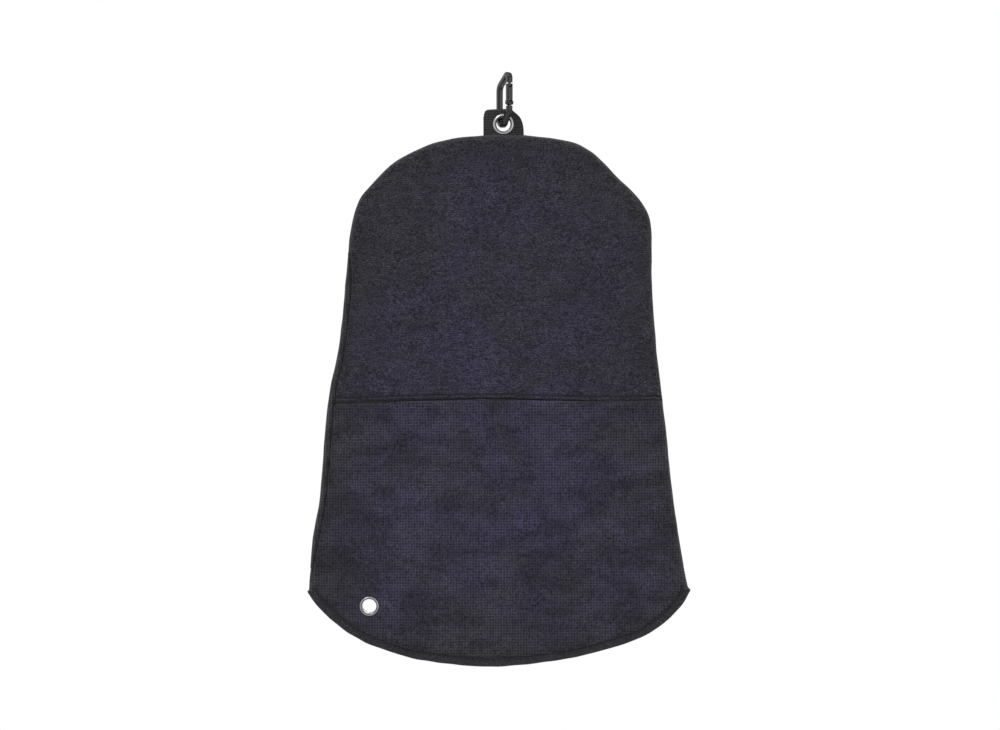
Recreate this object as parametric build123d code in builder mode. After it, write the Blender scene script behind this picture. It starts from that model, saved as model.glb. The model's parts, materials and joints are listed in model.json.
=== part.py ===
from build123d import *
from math import atan2, cos, degrees, radians, sin, tan
import os

# A hand-mitt golf towel that hangs from a small spring carabiner.
# Millimetres. +Z is up, the front of the towel faces -Y and +X is to the right of
# someone who looks at the front. The origin is the point inside the carabiner's
# crown that stands right above the towel's swing axis. Y = 0 is the towel's middle.

# Driving sizes: towel
TOWEL_HEIGHT = 350.0
LEFT_CORNER = (-128.0, -302.0)  # X, and Z below the top of the dome
RIGHT_CORNER = (123.0, -301.0)
MIDDLE_SEAM_DROP = 173.0
PANEL = 1.8
LINING = 0.4
POCKET_GAP = 4.4
SEAM_ALLOWANCE = 8.0
MIDDLE_ALLOWANCE = 7.0
ALLOWANCE_THICKNESS = 0.6
HEM_WIDTH = 6.5
HEM_PROUD = 0.3
EDGE_ROUNDING = 1.5

# Driving sizes: tab and eyelets
TAB_WIDTH = 25.4
TAB_THICKNESS = 2.4
TAB_INSERTED = 16.0
EYELET_HOLE = 4.6  # radius
EYELET_WALL = 0.5
EYELET_FLANGE = 6.6  # radius
FLANGE_THICKNESS = 0.8
FLANGE_ROUNDING = 0.64
WASHER_ROUNDING = 0.48
EYELET_ABOVE_DOME = 8.0
EYELET_OFFSET = 0.4  # to the right of the swing axis
EYELET_LIFT = 0.3  # above the swing axis
TAB_TOP = 9.4  # above the eyelet's middle, at the left
TAB_SHOULDER = (6.0, 9.8)  # right and up from the eyelet's middle, where the fold ends
TAB_WAIST = (10.2, 5.6)  # right and up from the eyelet's middle, on the curved side
TAB_CORNER = 2.0
TAB_CORNER_RADIUS = 2.2
CORNER_EYELET = (-88.0, -310.0)  # X, and Z below the top of the dome

# Driving sizes: carabiner, drawn in its own plane, U across and W up
BAR = 3.9
BAR_ROUNDING = 1.2
LOOP_WIDTH = 15.5  # between the middles of the spine and of the gate
BEND_RADIUS = 5.0
HEEL_RADIUS = 4.0
CROWN_RADIUS = 5.5
NOSE_RADIUS = 2.4
YAW = 24.0  # turn of the loop's plane from the plane square to the towel
LOWER_SLOPE = 48.0  # of the bar between the lowest bend and the gate's foot
CROWN_RISE = 8.8  # from the spine's top to the crown's corner over the gate
CROWN_CORNER = 7.1  # height of that corner above the nose
HEEL_TO_RIVET = 4.6
GATE_LENGTH = 14.2
GATE_ROUNDING = 0.96
NOSE_GAP = 0.9
RIVET_RADIUS = 0.8
RIVET_HEAD = 1.35
RIVET_HEAD_THICKNESS = 0.4
RIVET_HEAD_FOOT = 0.1  # clear of the gate's side
RUNNING_GAP = 0.05
SIDE_GAP = 0.3
TONGUE = 1.3  # thickness of the tongue under the gate and of the lip over it
TONGUE_SIDES = 0.2  # how much narrower than the bar the tongue is at each side
LIP_LENGTH = 2.4
LIP_OFFSET = 0.5  # of the lip's middle, outwards from the bar's middle
OVERLAP = 0.5  # how far joined shapes run into each other
BORE_RADIUS = 0.95
BORE_ROOF = 0.4  # metal between the bore and the slot for the lip
PLUNGER_LENGTH = 2.0
PLUNGER_GAP = 0.1
PLUNGER_ROUNDING = 0.4
SPRING_WIRE = 0.14  # radius
SPRING_PITCH = 0.6
SPRING_CLEARANCE = 0.6

# Sewing thread
THREAD = 0.5
STITCH = 2.6
STITCH_PITCH = 3.8
TOPSTITCH_RISE = 2.7  # above the middle seam
TOPSTITCH_ENDS = (-110.0, 100.0)  # X
HEM_STITCH_RISE = 1.2  # above the fold of the hem
HEM_ROW = (0.02, 0.98)  # share of the mouth's length that is stitched
OVERSEWN_ROW = (0.03, 0.97)  # share of the outer edge that is oversewn
BOX_WIDTH = 22.0
BOX_HEIGHT = 8.0
BOX_BELOW_DOME = 4.0
BOX_ROW_WIDTH = 19.0

half_gap = POCKET_GAP / 2
lining_face = half_gap + LINING
panel_face = lining_face + PANEL
hem_face = panel_face + HEM_PROUD

# Heights in the loop's plane are measured from the middle of its lowest bend, which
# is on the towel's swing axis in Y and BEND_RADIUS above it.
slope = radians(LOWER_SLOPE)
spine_u = -BEND_RADIUS
gate_u = spine_u + LOOP_WIDTH
bend_corner_w = -BEND_RADIUS * (1 + sin(slope)) / cos(slope)
heel_w = bend_corner_w + LOOP_WIDTH * tan(slope)
rivet_w = heel_w + HEEL_TO_RIVET
shoulder_w = rivet_w - BAR / 2 - SIDE_GAP
gate_top_w = rivet_w + GATE_LENGTH - BAR / 2
nose_w = gate_top_w + NOSE_GAP
crown_w = nose_w + CROWN_CORNER
crown_slope = atan2(CROWN_RISE, LOOP_WIDTH)
hang_w = crown_w - gate_u * tan(crown_slope) - BAR / 2 / cos(crown_slope)

pivot_z = -hang_w - BEND_RADIUS
eyelet_x = EYELET_OFFSET
eyelet_z = pivot_z + EYELET_LIFT
dome_z = eyelet_z - EYELET_ABOVE_DOME
seam_z = dome_z - MIDDLE_SEAM_DROP

os.makedirs("parts", exist_ok=True)


def finish(part, label):
    """Name a finished piece and write it as its own STEP file."""
    part.label = label
    export_step(part, f"parts/{label}.step")


# ---------------------------------------------------------------- towel outlines
# Points are (X, Z below the top of the dome), clockwise from the lower left corner.
SIDES_AND_DOME = [
    LEFT_CORNER,
    (-119.0, -214.0),
    (-107.5, -135.0),
    (-102.0, -85.0),
    (-98.5, -53.0),
    (-84.0, -29.5),
    (-52.0, -8.0),
    (0.0, 0.0),
    (54.0, -8.0),
    (79.0, -30.5),
    (95.5, -55.0),
    (98.0, -85.0),
    (100.5, -135.0),
    (109.5, -214.0),
    RIGHT_CORNER,
]
MOUTH = [
    LEFT_CORNER,
    (-109.0, -322.0),
    (-81.0, -338.0),
    (-8.0, -TOWEL_HEIGHT),
    (70.0, -338.5),
    (102.0, -324.0),
    RIGHT_CORNER,
]
INSET_STEPS = 24
BELOW_LENGTH = 90.0  # how far outlines are carried on past the corners before the cut
BELOW_FLARE = 6.0
WIDER_THAN_TOWEL = 400.0
TALLER_THAN_TOP = 300.0


def dropped(points, rise=0.0):
    """Outline points with Z measured from the origin in place of the dome's top."""
    return [(x, z + dome_z + rise) for x, z in points]


def side_and_dome_line(inset=0.0):
    """The outer edge from corner to corner over the dome, or a line inset from it."""
    edge = Spline(*dropped(SIDES_AND_DOME))
    if inset == 0:
        return edge
    shares = [number / INSET_STEPS for number in range(INSET_STEPS + 1)]
    return Spline(*[edge @ t + (edge % t).rotate(Axis.Z, -90) * inset for t in shares])


def tall_shape(inset=0.0):
    """Both sides and the dome, carried on below the mouth."""
    edge = side_and_dome_line(inset)
    with BuildSketch() as shape:
        with BuildLine():
            add(edge)
            Polyline(
                edge @ 1,
                edge @ 1 + Vector(BELOW_FLARE, -BELOW_LENGTH),
                edge @ 0 + Vector(-BELOW_FLARE, -BELOW_LENGTH),
                edge @ 0,
            )
        make_face()
    return shape.sketch


def mouth_zone(rise=0.0):
    """Everything below the curved mouth edge, moved up by rise."""
    with BuildSketch() as zone:
        with BuildLine():
            edge = Spline(*dropped(MOUTH, rise))
            Polyline(
                edge @ 1,
                edge @ 1 + Vector(3 * BELOW_FLARE, 0),
                edge @ 1 + Vector(3 * BELOW_FLARE, -2 * BELOW_LENGTH),
                edge @ 0 + Vector(-3 * BELOW_FLARE, -2 * BELOW_LENGTH),
                edge @ 0 + Vector(-3 * BELOW_FLARE, 0),
                edge @ 0,
            )
        make_face()
    return zone.sketch


def above_seam():
    """Everything above the middle seam."""
    with BuildSketch() as zone:
        with Locations((0, seam_z + TALLER_THAN_TOP / 2)):
            Rectangle(WIDER_THAN_TOWEL, TALLER_THAN_TOP)
    return zone.sketch


towel = tall_shape()
mouth = mouth_zone()
hem_zone = mouth_zone(HEM_WIDTH)
pocket = tall_shape(SEAM_ALLOWANCE)
upper_zone = above_seam()
corner_hole_at = (CORNER_EYELET[0], dome_z + CORNER_EYELET[1])


def layer_plane(distance):
    """A plane parallel to the towel, distance in front of its middle."""
    return Plane.XZ.offset(distance)


# ---------------------------------------------------------------- towel cloth
# The seam between the two front panels has its allowance turned up behind the upper
# one, in a shallow step of that panel.
with BuildSketch(layer_plane(lining_face)) as middle_seam_strip:
    add(towel)
    with Locations((0, seam_z + MIDDLE_ALLOWANCE / 2)):
        Rectangle(WIDER_THAN_TOWEL, MIDDLE_ALLOWANCE, mode=Mode.INTERSECT)

with BuildPart() as middle_seam_allowance:
    extrude(middle_seam_strip.sketch, amount=ALLOWANCE_THICKNESS)
finish(middle_seam_allowance.part, "middle_seam_allowance")

with BuildPart() as front_upper_panel:
    with BuildSketch(layer_plane(lining_face)):
        add(towel)
        add(upper_zone, mode=Mode.INTERSECT)
    extrude(amount=PANEL)
    outer_face = front_upper_panel.faces().sort_by(Axis.Y)[0]
    fillet(outer_face.edges(), EDGE_ROUNDING)
    extrude(middle_seam_strip.sketch, amount=ALLOWANCE_THICKNESS, mode=Mode.SUBTRACT)
finish(front_upper_panel.part, "front_upper_panel")

with BuildPart() as front_lower_panel:
    with BuildSketch(layer_plane(lining_face)):
        add(towel)
        add(upper_zone, mode=Mode.SUBTRACT)
        add(hem_zone, mode=Mode.SUBTRACT)
        with Locations(corner_hole_at):
            Circle(EYELET_HOLE + EYELET_WALL, mode=Mode.SUBTRACT)
    extrude(amount=PANEL)
    seam_edge = front_lower_panel.faces().sort_by(Axis.Y)[0].edges().sort_by(Axis.Z)[-1]
    fillet(seam_edge, EDGE_ROUNDING)
finish(front_lower_panel.part, "front_lower_panel")

with BuildPart() as back_panel:
    with BuildSketch(layer_plane(-panel_face)):
        add(towel)
        add(hem_zone, mode=Mode.SUBTRACT)
        with Locations(corner_hole_at):
            Circle(EYELET_HOLE + EYELET_WALL, mode=Mode.SUBTRACT)
    extrude(amount=PANEL)
    dome_edge = back_panel.faces().sort_by(Axis.Y)[-1].edges().sort_by(Axis.Z)[-1]
    fillet(dome_edge, EDGE_ROUNDING)
finish(back_panel.part, "back_panel")

# Thin water-resistant linings keep a wet towel from the hand inside.
for label, near in (("front_lining", half_gap), ("back_lining", -lining_face)):
    with BuildPart() as lining:
        with BuildSketch(layer_plane(near)):
            add(towel)
            add(hem_zone, mode=Mode.SUBTRACT)
            with Locations(corner_hole_at):
                Circle(EYELET_HOLE + EYELET_WALL, mode=Mode.SUBTRACT)
        extrude(amount=LINING)
    finish(lining.part, label)

# Front and back meet in a turned-in seam allowance round both sides and the dome.
# The mouth at the bottom stays open, and the tab is caught in it at the top.
with BuildPart() as edge_seam_allowance:
    with BuildSketch(layer_plane(-half_gap)):
        add(towel)
        add(hem_zone, mode=Mode.SUBTRACT)
    extrude(amount=POCKET_GAP)
    with BuildSketch(layer_plane(-half_gap)):
        add(pocket)
    extrude(amount=POCKET_GAP, mode=Mode.SUBTRACT)
    with BuildSketch(layer_plane(-TAB_THICKNESS / 2)):
        with Locations((eyelet_x, dome_z)):
            Rectangle(TAB_WIDTH + SIDE_GAP, 3 * TAB_INSERTED)
    extrude(amount=TAB_THICKNESS, mode=Mode.SUBTRACT)
finish(edge_seam_allowance.part, "edge_seam_allowance")

# The mouth of each side is folded over into a narrow hem.
for label, near in (("front_hem", half_gap), ("back_hem", -hem_face)):
    with BuildPart() as hem:
        with BuildSketch(layer_plane(near)):
            add(towel)
            add(hem_zone, mode=Mode.INTERSECT)
            add(mouth, mode=Mode.SUBTRACT)
        extrude(amount=hem_face - half_gap)
    finish(hem.part, label)


# ---------------------------------------------------------------- stitching
def stitch_spots(path, height):
    """Places along a curve in the XZ plane for one row of stitches, at Y = height."""
    count = int(path.length / STITCH_PITCH)
    spots = []
    for number in range(count):
        share = (number + 0.5) / count
        spot = path @ share
        run = path % share
        turn = degrees(atan2(run.Y, run.X))
        spots.append(Location((spot.X, height, spot.Y), (0, -turn, 0)))
    return spots


topstitch_z = seam_z + TOPSTITCH_RISE
topstitch_path = Line((TOPSTITCH_ENDS[0], topstitch_z), (TOPSTITCH_ENDS[1], topstitch_z))
hem_path = Spline(*dropped(MOUTH, HEM_WIDTH + HEM_STITCH_RISE)).trim(*HEM_ROW)
surface = panel_face + THREAD / 2

with BuildPart() as middle_topstitch:
    with Locations(*stitch_spots(topstitch_path, -surface)):
        Box(STITCH, THREAD, THREAD)
finish(middle_topstitch.part, "middle_topstitch")

for label, height in (("front_hem_stitch", -surface), ("back_hem_stitch", surface)):
    with BuildPart() as hem_stitch:
        with Locations(*stitch_spots(hem_path, height)):
            Box(STITCH, THREAD, THREAD)
    finish(hem_stitch.part, label)

# The raw edges of sides and dome are oversewn: the stitches show inside the pocket.
oversewn_path = side_and_dome_line(SEAM_ALLOWANCE + THREAD).trim(*OVERSEWN_ROW)
with BuildPart() as edge_oversewing:
    clear_of_tab = [
        spot
        for spot in stitch_spots(oversewn_path, 0)
        if abs(spot.position.X - eyelet_x) > TAB_WIDTH / 2 + STITCH
    ]
    with Locations(*clear_of_tab):
        Box(STITCH, THREAD, THREAD)
finish(edge_oversewing.part, "edge_oversewing")

with BuildPart() as tab_box_stitch:
    box_top = dome_z - BOX_BELOW_DOME
    box_bottom = box_top - BOX_HEIGHT
    for height in (box_bottom, box_top):
        row = Line((eyelet_x - BOX_ROW_WIDTH / 2, height), (eyelet_x + BOX_ROW_WIDTH / 2, height))
        with Locations(*stitch_spots(row, -surface)):
            Box(STITCH, THREAD, THREAD)
    for column_x in (eyelet_x - BOX_WIDTH / 2, eyelet_x + BOX_WIDTH / 2):
        column = Line((column_x, box_bottom), (column_x, box_top))
        with Locations(*stitch_spots(column, -surface)):
            Box(STITCH, THREAD, THREAD)
finish(tab_box_stitch.part, "tab_box_stitch")


# ---------------------------------------------------------------- tab and eyelets
# Webbing folded in half: straight on the left, pulled round on the right.
tab_left = eyelet_x - TAB_WIDTH / 2
tab_right = eyelet_x + TAB_WIDTH / 2
tab_top = eyelet_z + TAB_TOP
tab_foot = dome_z - TAB_INSERTED
shoulder = (eyelet_x + TAB_SHOULDER[0], eyelet_z + TAB_SHOULDER[1])
waist = (eyelet_x + TAB_WAIST[0], eyelet_z + TAB_WAIST[1])
with BuildPart() as hanging_tab:
    with BuildSketch(layer_plane(-TAB_THICKNESS / 2)):
        with BuildLine():
            top = Line((tab_left + TAB_CORNER, tab_top), shoulder)
            Spline(top @ 1, waist, (tab_right, dome_z))
            sides = Polyline(
                (tab_right, dome_z),
                (tab_right, tab_foot),
                (tab_left, tab_foot),
                (tab_left, tab_top - TAB_CORNER),
            )
            RadiusArc(sides @ 1, top @ 0, TAB_CORNER_RADIUS)
        make_face()
        with Locations((eyelet_x, eyelet_z)):
            Circle(EYELET_HOLE + EYELET_WALL, mode=Mode.SUBTRACT)
    extrude(amount=TAB_THICKNESS)
finish(hanging_tab.part, "hanging_tab")


def set_eyelet(label, centre, grip):
    """Front half of an eyelet: flange and barrel, with the barrel rolled out behind."""
    back_reach = grip + FLANGE_THICKNESS
    with BuildPart() as eyelet:
        with BuildSketch(layer_plane(grip)):
            with Locations(centre):
                Circle(EYELET_FLANGE)
        extrude(amount=FLANGE_THICKNESS)
        crown = eyelet.faces().sort_by(Axis.Y)[0]
        fillet(crown.edges(), FLANGE_ROUNDING)
        with BuildSketch(layer_plane(-back_reach)):
            with Locations(centre):
                Circle(EYELET_HOLE + EYELET_WALL)
        extrude(amount=back_reach + grip)
        with BuildSketch(layer_plane(-back_reach)):
            with Locations(centre):
                Circle(EYELET_HOLE)
        extrude(amount=2 * back_reach, mode=Mode.SUBTRACT)
    finish(eyelet.part, label)


def set_washer(label, centre, grip):
    """Ring behind the cloth that the barrel is rolled over."""
    with BuildPart() as washer:
        with BuildSketch(layer_plane(-grip - FLANGE_THICKNESS)):
            with Locations(centre):
                Circle(EYELET_FLANGE)
                Circle(EYELET_HOLE + EYELET_WALL, mode=Mode.SUBTRACT)
        extrude(amount=FLANGE_THICKNESS)
        outside = washer.faces().sort_by(Axis.Y)[-1]
        fillet(outside.edges().sort_by(SortBy.LENGTH)[-1], WASHER_ROUNDING)
    finish(washer.part, label)


set_eyelet("tab_eyelet", (eyelet_x, eyelet_z), TAB_THICKNESS / 2)
set_washer("tab_eyelet_washer", (eyelet_x, eyelet_z), TAB_THICKNESS / 2)
set_eyelet("corner_eyelet", corner_hole_at, panel_face)
set_washer("corner_eyelet_washer", corner_hole_at, panel_face)

# ---------------------------------------------------------------- carabiner
# The loop's plane: U to the gate side, W up, square to it the rivet's direction.
# Its spine is behind the tab, and the lowest bend goes through the tab's eyelet.
loop_plane = Plane(
    origin=(0, 0, pivot_z + BEND_RADIUS),
    x_dir=(sin(radians(YAW)), -cos(radians(YAW)), 0),
    z_dir=(-cos(radians(YAW)), -sin(radians(YAW)), 0),
)
with BuildPart() as carabiner_frame:
    with BuildLine(loop_plane) as bar_line:
        FilletPolyline(
            (gate_u, shoulder_w),
            (gate_u, heel_w),
            (spine_u, bend_corner_w),
            (spine_u, crown_w - CROWN_RISE),
            (gate_u, crown_w),
            (gate_u, nose_w),
            radius=[HEEL_RADIUS, BEND_RADIUS, CROWN_RADIUS, NOSE_RADIUS],
        )
    bar_start = Plane(
        origin=bar_line.line @ 0, x_dir=loop_plane.x_dir, z_dir=bar_line.line % 0
    )
    with BuildSketch(bar_start):
        RectangleRounded(BAR, BAR, BAR_ROUNDING)
    sweep(path=bar_line.line)
    # tongue that the gate's ears straddle
    with BuildSketch(loop_plane.offset(-TONGUE / 2)):
        with Locations((gate_u, (shoulder_w + rivet_w) / 2 - OVERLAP)):
            Rectangle(BAR - 2 * TONGUE_SIDES, rivet_w - shoulder_w + 2 * OVERLAP)
        with Locations((gate_u, rivet_w)):
            Circle(BAR / 2 - TONGUE_SIDES)
    extrude(amount=TONGUE)
    # lip that catches the gate's top
    with BuildSketch(loop_plane.offset(-TONGUE / 2)):
        with Locations((gate_u + LIP_OFFSET, nose_w - LIP_LENGTH / 2 + OVERLAP)):
            Rectangle(BAR / 2, LIP_LENGTH + 2 * OVERLAP)
    extrude(amount=TONGUE)
    with BuildSketch(loop_plane.offset(-BAR)):
        with Locations((gate_u, rivet_w)):
            Circle(RIVET_RADIUS)
    extrude(amount=2 * BAR, mode=Mode.SUBTRACT)
finish(carabiner_frame.part, "carabiner_frame")

with BuildPart() as gate_rivet:
    with BuildSketch(loop_plane.offset(-BAR / 2 - SIDE_GAP)):
        with Locations((gate_u, rivet_w)):
            Circle(RIVET_RADIUS)
    extrude(amount=BAR + 2 * SIDE_GAP)
    head_foot = BAR / 2 + RIVET_HEAD_FOOT
    for near in (-head_foot - RIVET_HEAD_THICKNESS, head_foot):
        with BuildSketch(loop_plane.offset(near)):
            with Locations((gate_u, rivet_w)):
                Circle(RIVET_HEAD)
        extrude(amount=RIVET_HEAD_THICKNESS)
finish(gate_rivet.part, "gate_rivet")

# The gate is a bar with a slot at each end and a drilled hole for spring and plunger.
slot = TONGUE + 2 * SIDE_GAP
slot_top_w = rivet_w + BAR / 2 + SIDE_GAP
bore_foot_w = slot_top_w - OVERLAP
bore_top_w = gate_top_w - LIP_LENGTH - BORE_ROOF
with BuildPart() as gate:
    with BuildSketch(loop_plane.offset(-BAR / 2)):
        with Locations((gate_u, (rivet_w + gate_top_w) / 2)):
            Rectangle(BAR, gate_top_w - rivet_w)
        with Locations((gate_u, rivet_w)):
            Circle(BAR / 2)
    extrude(amount=BAR)
    fillet(gate.edges().filter_by(Axis.Z), GATE_ROUNDING)
    with BuildSketch(loop_plane.offset(-slot / 2)):
        with Locations((gate_u, (rivet_w - BAR + slot_top_w) / 2)):
            Rectangle(2 * BAR, slot_top_w - rivet_w + BAR)
        with Locations((gate_u + BAR / 2, gate_top_w)):
            Rectangle(BAR + 4 * SIDE_GAP, 2 * LIP_LENGTH)
    extrude(amount=slot, mode=Mode.SUBTRACT)
    with BuildSketch(loop_plane.offset(-BAR)):
        with Locations((gate_u, rivet_w)):
            Circle(RIVET_RADIUS + RUNNING_GAP)
    extrude(amount=2 * BAR, mode=Mode.SUBTRACT)
    bore_foot = loop_plane.from_local_coords(Vector(gate_u, bore_foot_w, 0))
    with BuildSketch(Plane(origin=bore_foot, z_dir=(0, 0, 1))):
        Circle(BORE_RADIUS)
    extrude(amount=bore_top_w - bore_foot_w, mode=Mode.SUBTRACT)
finish(gate.part, "gate")

# The plunger slides in that hole and presses on the tongue.
plunger_radius = BORE_RADIUS - PLUNGER_GAP
plunger_foot = loop_plane.from_local_coords(Vector(gate_u, slot_top_w + RUNNING_GAP, 0))
with BuildPart() as gate_plunger:
    with BuildSketch(Plane(origin=plunger_foot, z_dir=(0, 0, 1))):
        Circle(plunger_radius)
    extrude(amount=PLUNGER_LENGTH)
    fillet(gate_plunger.edges().sort_by(Axis.Z)[0], PLUNGER_ROUNDING)
finish(gate_plunger.part, "gate_plunger")

spring_foot = plunger_foot + Vector(0, 0, PLUNGER_LENGTH + 2 * SPRING_WIRE)
spring_length = bore_top_w - slot_top_w - PLUNGER_LENGTH - SPRING_CLEARANCE
with BuildPart() as gate_spring:
    with BuildLine(Plane(origin=spring_foot, z_dir=(0, 0, 1))) as coil:
        Helix(pitch=SPRING_PITCH, height=spring_length, radius=plunger_radius - SPRING_WIRE)
    with BuildSketch(Plane(origin=coil.line @ 0, z_dir=coil.line % 0)):
        Circle(SPRING_WIRE)
    sweep(path=coil.line, is_frenet=True)
finish(gate_spring.part, "gate_spring")
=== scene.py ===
import json
import math

import bpy
from mathutils import Vector, geometry, kdtree, noise
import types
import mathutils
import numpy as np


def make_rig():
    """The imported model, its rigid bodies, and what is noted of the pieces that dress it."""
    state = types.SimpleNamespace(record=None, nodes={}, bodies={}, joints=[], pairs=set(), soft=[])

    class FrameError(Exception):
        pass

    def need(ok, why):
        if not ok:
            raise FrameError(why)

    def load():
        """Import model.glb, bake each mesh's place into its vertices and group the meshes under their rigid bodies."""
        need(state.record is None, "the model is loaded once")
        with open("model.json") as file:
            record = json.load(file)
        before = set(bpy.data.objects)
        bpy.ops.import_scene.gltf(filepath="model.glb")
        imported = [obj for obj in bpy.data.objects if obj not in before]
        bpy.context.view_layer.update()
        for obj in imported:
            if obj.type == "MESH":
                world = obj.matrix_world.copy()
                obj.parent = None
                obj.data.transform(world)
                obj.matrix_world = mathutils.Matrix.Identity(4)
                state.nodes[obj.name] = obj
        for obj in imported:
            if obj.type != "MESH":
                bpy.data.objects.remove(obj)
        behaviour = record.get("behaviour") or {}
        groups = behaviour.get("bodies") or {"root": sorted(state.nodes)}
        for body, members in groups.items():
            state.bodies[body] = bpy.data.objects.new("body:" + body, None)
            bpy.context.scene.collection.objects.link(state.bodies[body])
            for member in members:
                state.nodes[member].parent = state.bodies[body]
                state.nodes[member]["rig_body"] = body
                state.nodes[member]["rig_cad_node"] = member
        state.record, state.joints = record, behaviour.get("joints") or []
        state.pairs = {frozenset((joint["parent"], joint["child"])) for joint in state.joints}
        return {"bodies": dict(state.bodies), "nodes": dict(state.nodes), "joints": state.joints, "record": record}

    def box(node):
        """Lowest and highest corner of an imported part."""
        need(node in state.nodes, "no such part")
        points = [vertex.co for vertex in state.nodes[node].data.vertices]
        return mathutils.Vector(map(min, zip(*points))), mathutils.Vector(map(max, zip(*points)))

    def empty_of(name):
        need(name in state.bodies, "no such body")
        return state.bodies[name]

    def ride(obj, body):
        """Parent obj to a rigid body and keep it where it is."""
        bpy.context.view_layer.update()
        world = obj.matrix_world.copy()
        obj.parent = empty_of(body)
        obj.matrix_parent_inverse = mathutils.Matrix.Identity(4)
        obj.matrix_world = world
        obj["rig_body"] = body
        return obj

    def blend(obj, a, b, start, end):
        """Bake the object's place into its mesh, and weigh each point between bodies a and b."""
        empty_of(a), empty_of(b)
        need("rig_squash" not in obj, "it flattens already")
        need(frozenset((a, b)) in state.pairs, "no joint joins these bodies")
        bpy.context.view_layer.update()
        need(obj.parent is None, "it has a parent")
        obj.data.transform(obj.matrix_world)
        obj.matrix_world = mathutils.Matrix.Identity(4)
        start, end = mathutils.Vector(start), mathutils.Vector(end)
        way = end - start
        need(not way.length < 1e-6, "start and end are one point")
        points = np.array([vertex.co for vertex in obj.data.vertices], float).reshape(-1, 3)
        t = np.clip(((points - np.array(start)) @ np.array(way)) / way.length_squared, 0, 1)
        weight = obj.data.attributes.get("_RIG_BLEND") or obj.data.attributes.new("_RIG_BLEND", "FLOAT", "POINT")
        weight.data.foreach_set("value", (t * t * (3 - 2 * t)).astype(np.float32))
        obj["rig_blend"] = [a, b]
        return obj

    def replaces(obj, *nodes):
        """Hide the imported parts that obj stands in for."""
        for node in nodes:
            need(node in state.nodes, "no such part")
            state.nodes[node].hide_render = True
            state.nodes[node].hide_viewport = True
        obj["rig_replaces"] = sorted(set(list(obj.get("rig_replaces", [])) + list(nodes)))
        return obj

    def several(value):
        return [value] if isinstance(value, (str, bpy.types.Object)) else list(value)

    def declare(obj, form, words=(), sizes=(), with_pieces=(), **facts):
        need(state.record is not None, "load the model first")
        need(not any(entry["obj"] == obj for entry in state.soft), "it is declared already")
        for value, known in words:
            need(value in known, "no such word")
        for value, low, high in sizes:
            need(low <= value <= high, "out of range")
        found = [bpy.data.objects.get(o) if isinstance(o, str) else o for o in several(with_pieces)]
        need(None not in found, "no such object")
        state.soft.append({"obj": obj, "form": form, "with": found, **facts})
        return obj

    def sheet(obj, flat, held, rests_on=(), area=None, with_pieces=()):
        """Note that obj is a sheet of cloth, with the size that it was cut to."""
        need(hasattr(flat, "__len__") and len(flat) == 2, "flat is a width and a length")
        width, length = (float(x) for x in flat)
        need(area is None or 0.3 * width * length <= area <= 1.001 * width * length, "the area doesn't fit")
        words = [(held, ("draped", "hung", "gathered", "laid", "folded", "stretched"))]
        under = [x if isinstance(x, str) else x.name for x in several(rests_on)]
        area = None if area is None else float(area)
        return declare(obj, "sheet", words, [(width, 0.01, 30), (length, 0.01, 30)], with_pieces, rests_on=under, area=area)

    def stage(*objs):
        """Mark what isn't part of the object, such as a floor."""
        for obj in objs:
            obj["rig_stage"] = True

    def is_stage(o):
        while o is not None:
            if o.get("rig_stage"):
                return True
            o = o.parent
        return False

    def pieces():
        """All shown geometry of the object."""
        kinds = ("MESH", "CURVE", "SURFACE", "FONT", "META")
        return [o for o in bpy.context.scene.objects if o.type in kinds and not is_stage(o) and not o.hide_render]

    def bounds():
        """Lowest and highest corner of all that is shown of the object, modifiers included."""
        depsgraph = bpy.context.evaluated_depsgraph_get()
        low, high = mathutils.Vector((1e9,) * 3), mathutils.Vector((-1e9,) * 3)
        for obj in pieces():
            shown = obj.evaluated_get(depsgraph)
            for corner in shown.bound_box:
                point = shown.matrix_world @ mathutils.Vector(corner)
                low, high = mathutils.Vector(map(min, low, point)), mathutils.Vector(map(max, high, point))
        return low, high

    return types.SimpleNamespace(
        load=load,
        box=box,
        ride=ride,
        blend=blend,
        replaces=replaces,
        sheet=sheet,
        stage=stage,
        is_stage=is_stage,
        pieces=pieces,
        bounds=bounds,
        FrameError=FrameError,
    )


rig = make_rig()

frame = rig.load()
cad_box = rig.bounds()

# ---------------------------------------------------------------- camera
# The towel is seen square on from the front, hanging, with its whole length in view
# and wide margins at both sides.
PORTRAIT_LENS = 85.0
VIEW_WIDTH = 0.660
AIM = Vector((0.0007, 0, 0.0030))  # from the middle of the towel and its carabiner

object_low, object_high = (Vector(corner) for corner in cad_box)
middle = (object_low + object_high) / 2
camera_data = bpy.data.cameras.new("front_camera")
camera_data.lens = PORTRAIT_LENS
camera = bpy.data.objects.new("front_camera", camera_data)
bpy.context.scene.collection.objects.link(camera)
stand_off = VIEW_WIDTH * PORTRAIT_LENS / camera_data.sensor_width
camera.location = middle + AIM - Vector((0, stand_off, 0))
camera.rotation_euler = (math.pi / 2, 0, 0)
bpy.context.scene.camera = camera

# ---------------------------------------------------------------- light and floor
# Even studio light: a broad lamp high on the left, a weaker one low on the right and
# one behind. A pale matt floor lies well below the towel.
FLOOR_DROP = 0.24
FLOOR_RADIUS = 0.6
LAMPS = [  # name, place from the towel's middle, size, power
    ("key_light", (-0.8, -1.0, 1.4), 0.6, 15.0),
    ("fill_light", (1.2, -1.3, 0.1), 1.0, 3.0),
    ("back_light", (0.3, 1.4, 0.9), 0.9, 10.0),
]

bpy.context.scene.view_settings.view_transform = "Standard"
world = bpy.data.worlds.new("studio")
world.use_nodes = True
world.node_tree.nodes["Background"].inputs["Color"].default_value = (1, 1, 1, 1)
bpy.context.scene.world = world

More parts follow.
